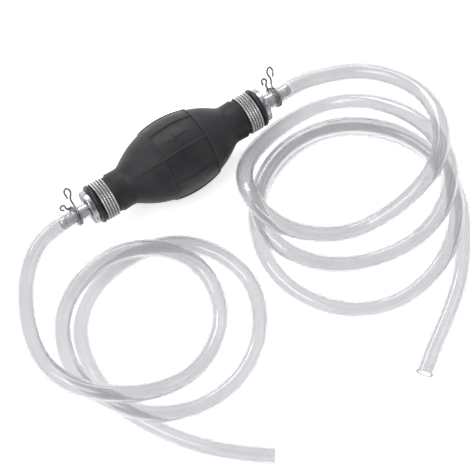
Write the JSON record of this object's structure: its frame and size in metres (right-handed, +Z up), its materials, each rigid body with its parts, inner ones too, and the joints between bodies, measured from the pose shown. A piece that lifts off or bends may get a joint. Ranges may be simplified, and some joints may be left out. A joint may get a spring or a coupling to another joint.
{
  "type": "hand-bulb siphon",
  "caption": "Hand siphon: rubber squeeze bulb with a check valve, ridged collar and hose barb at each end, and clear hoses held by wire spring clamps.",
  "frame": {"origin": "on the floor under the middle of the squeeze bulb", "axes": "+X along the bulb's axis towards the inlet end, so water flows towards -X; +Z up; the hoses lie on the floor towards -Y"},
  "size_m": [0.2985, 0.2268, 0.05],
  "materials": {
    "black_rubber": "semi-matte moulded black rubber",
    "seal_rubber": "smooth black seal rubber",
    "aluminium": "bright turned aluminium, knurled on the collars",
    "spring_steel": "plated spring wire",
    "acetal": "white moulded acetal",
    "clear_vinyl": "clear flexible vinyl, slightly cloudy"
  },
  "bodies": {
    "root": {"bulb": "black_rubber", "inlet_collar": "aluminium", "inlet_o_ring": "seal_rubber", "inlet_barb": "aluminium", "inlet_valve_body": "aluminium", "inlet_spring_retainer": "acetal", "inlet_valve_spring": "spring_steel", "inlet_hose": "clear_vinyl", "outlet_collar": "aluminium", "outlet_o_ring": "seal_rubber", "outlet_barb": "aluminium", "outlet_valve_body": "aluminium", "outlet_spring_retainer": "acetal", "outlet_valve_spring": "spring_steel", "outlet_hose": "clear_vinyl"},
    "front_wall": {"front_squeeze_wall": "black_rubber"},
    "back_wall": {"back_squeeze_wall": "black_rubber"},
    "inlet_poppet_body": {"inlet_poppet": "acetal", "inlet_poppet_washer": "seal_rubber"},
    "outlet_poppet_body": {"outlet_poppet": "acetal", "outlet_poppet_washer": "seal_rubber"},
    "inlet_clamp": {"inlet_hose_clamp": "spring_steel"},
    "outlet_clamp": {"outlet_hose_clamp": "spring_steel"}
  },
  "joints": [
    {"name": "squeeze_front", "type": "slide", "parent": "root", "child": "front_wall", "axis": [0, 1, 0], "range_m": [0, 0.01], "stiffness_N_per_m": 800},
    {"name": "squeeze_back", "type": "slide", "parent": "root", "child": "back_wall", "axis": [0, -1, 0], "range_m": [0, 0.01], "stiffness_N_per_m": 800},
    {"name": "inlet_valve_lift", "type": "slide", "parent": "root", "child": "inlet_poppet_body", "axis": [-1, 0, 0], "range_m": [0, 0.0025], "stiffness_N_per_m": 40, "deforming": ["inlet_valve_spring"]},
    {"name": "outlet_valve_lift", "type": "slide", "parent": "root", "child": "outlet_poppet_body", "axis": [-1, 0, 0], "range_m": [0, 0.0025], "stiffness_N_per_m": 40, "deforming": ["outlet_valve_spring"]},
    {"name": "inlet_clamp_turn", "type": "hinge", "parent": "root", "child": "inlet_clamp", "pos_m": [0.074, 0, 0.025], "axis": [1, 0, 0], "range_deg": [-60, 60]},
    {"name": "outlet_clamp_turn", "type": "hinge", "parent": "root", "child": "outlet_clamp", "pos_m": [-0.074, 0, 0.025], "axis": [1, 0, 0], "range_deg": [-60, 60]}
  ],
  "couplings": [
    {"joint": "squeeze_back", "follows": "squeeze_front", "ratio": 1}
  ]
}
